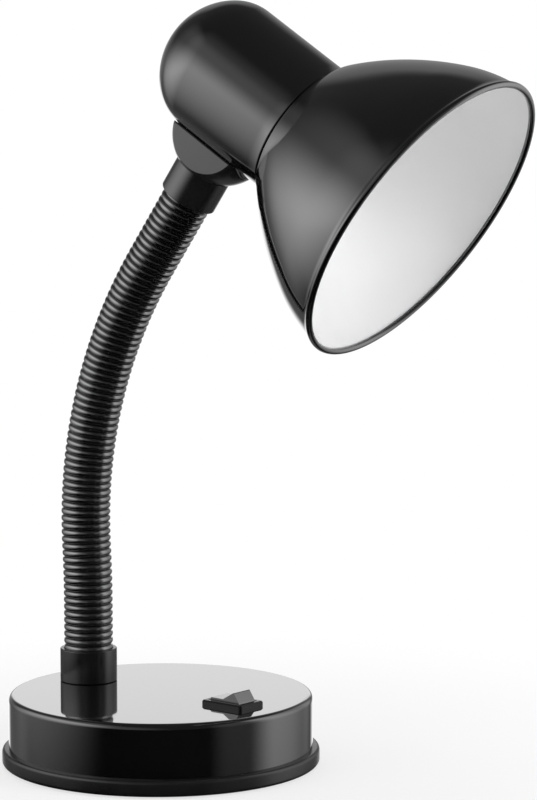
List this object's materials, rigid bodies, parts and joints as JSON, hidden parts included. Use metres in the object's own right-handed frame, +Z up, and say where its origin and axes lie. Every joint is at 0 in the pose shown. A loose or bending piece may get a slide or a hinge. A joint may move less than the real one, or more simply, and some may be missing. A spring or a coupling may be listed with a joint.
{
  "type": "gooseneck table lamp",
  "caption": "Round weighted desk lamp base with a rocker switch, a ribbed bendable neck and a bell shade on a dome-ended housing with a screw lampholder.",
  "frame": {"origin": "centre of the base's underside, on the surface that it stands on", "axes": "+Z up; +X from the neck's foot to the switch, across the base; +Y to the left of that"},
  "size_m": [0.2196, 0.1557, 0.3153],
  "materials": {
    "shell_paint": "gloss black stove enamel",
    "shade_paint": "gloss black outside, white inside",
    "housing_plastic": "gloss black moulding",
    "satin_plastic": "satin black moulding",
    "hose_plastic": "satin black ribbed sleeve",
    "switch_plastic": "satin black moulding",
    "pad_foam": "matt black pad",
    "ballast_iron": "raw casting",
    "plated_steel": "zinc plated",
    "contact_brass": "plain brass",
    "holder_plastic": "white heat-proof moulding"
  },
  "bodies": {
    "base": {"base_shell": "shell_paint", "bottom_cover": "satin_plastic", "base_pad": "pad_foam", "ballast_weight": "ballast_iron", "cover_posts": "plated_steel", "cover_screws": "plated_steel", "cord_bush": "satin_plastic", "switch_frame": "switch_plastic", "switch_terminals": "contact_brass", "foot_collar": "satin_plastic", "foot_nipple": "plated_steel", "foot_washer": "plated_steel", "foot_nut": "plated_steel", "neck_core_0": "plated_steel", "neck_hose": "hose_plastic"},
    "rocker": {"switch_rocker": "switch_plastic"},
    "link_1": {"neck_core_1": "plated_steel"},
    "link_2": {"neck_core_2": "plated_steel"},
    "link_3": {"neck_core_3": "plated_steel"},
    "link_4": {"neck_core_4": "plated_steel"},
    "link_5": {"neck_core_5": "plated_steel"},
    "link_6": {"neck_core_6": "plated_steel"},
    "link_7": {"neck_core_7": "plated_steel"},
    "head": {"neck_core_8": "plated_steel", "head_knuckle": "satin_plastic", "head_nipple": "plated_steel", "head_washer": "plated_steel", "head_nut": "plated_steel", "lamp_housing": "housing_plastic", "shade": "shade_paint", "shade_ring": "holder_plastic", "lampholder_body": "holder_plastic", "screw_shell": "contact_brass", "centre_contact": "contact_brass", "holder_terminals": "contact_brass"}
  },
  "joints": [
    {"name": "switch_rock", "type": "hinge", "parent": "base", "child": "rocker", "pos_m": [0.039, 0, 0.0296], "axis": [0, 1, 0], "range_deg": [0, 30]},
    {"name": "neck_bend_1", "type": "hinge", "parent": "base", "child": "link_1", "pos_m": [-0.0407, 0, 0.0556], "axis": [-0.1564, 0.9877, 0], "range_deg": [-10, 10], "deforming": ["neck_hose"]},
    {"name": "neck_sway_1", "type": "hinge", "parent": "link_1", "child": "link_2", "pos_m": [-0.04111, -0.00006, 0.08126], "axis": [-0.9869, -0.1563, -0.0405], "range_deg": [-10, 10], "deforming": ["neck_hose"]},
    {"name": "neck_bend_2", "type": "hinge", "parent": "link_2", "child": "link_3", "pos_m": [-0.04143, -0.00012, 0.10692], "axis": [-0.1564, 0.9877, 0], "range_deg": [-10, 10], "deforming": ["neck_hose"]},
    {"name": "neck_sway_2", "type": "hinge", "parent": "link_3", "child": "link_4", "pos_m": [-0.03864, 0.00033, 0.13242], "axis": [-0.9726, -0.1541, 0.1739], "range_deg": [-10, 10], "deforming": ["neck_hose"]},
    {"name": "neck_bend_3", "type": "hinge", "parent": "link_4", "child": "link_5", "pos_m": [-0.03264, 0.00128, 0.15734], "axis": [-0.1564, 0.9877, 0], "range_deg": [-10, 10], "deforming": ["neck_hose"]},
    {"name": "neck_sway_3", "type": "hinge", "parent": "link_5", "child": "link_6", "pos_m": [-0.02354, 0.00272, 0.18128], "axis": [-0.8972, -0.1421, 0.4182], "range_deg": [-10, 10], "deforming": ["neck_hose"]},
    {"name": "neck_bend_4", "type": "hinge", "parent": "link_6", "child": "link_7", "pos_m": [-0.01149, 0.00463, 0.20384], "axis": [-0.1564, 0.9877, 0], "range_deg": [-10, 10], "deforming": ["neck_hose"]},
    {"name": "neck_sway_4", "type": "hinge", "parent": "link_7", "child": "head", "pos_m": [0.00245, 0.00683, 0.22528], "axis": [-0.8236, -0.1304, 0.5519], "range_deg": [-10, 10], "deforming": ["neck_hose"]}
  ],
  "couplings": [
    {"joint": "neck_bend_2", "follows": "neck_bend_1", "ratio": 1},
    {"joint": "neck_bend_3", "follows": "neck_bend_1", "ratio": 1},
    {"joint": "neck_bend_4", "follows": "neck_bend_1", "ratio": 1},
    {"joint": "neck_sway_2", "follows": "neck_sway_1", "ratio": 1},
    {"joint": "neck_sway_3", "follows": "neck_sway_1", "ratio": 1},
    {"joint": "neck_sway_4", "follows": "neck_sway_1", "ratio": 1}
  ]
}
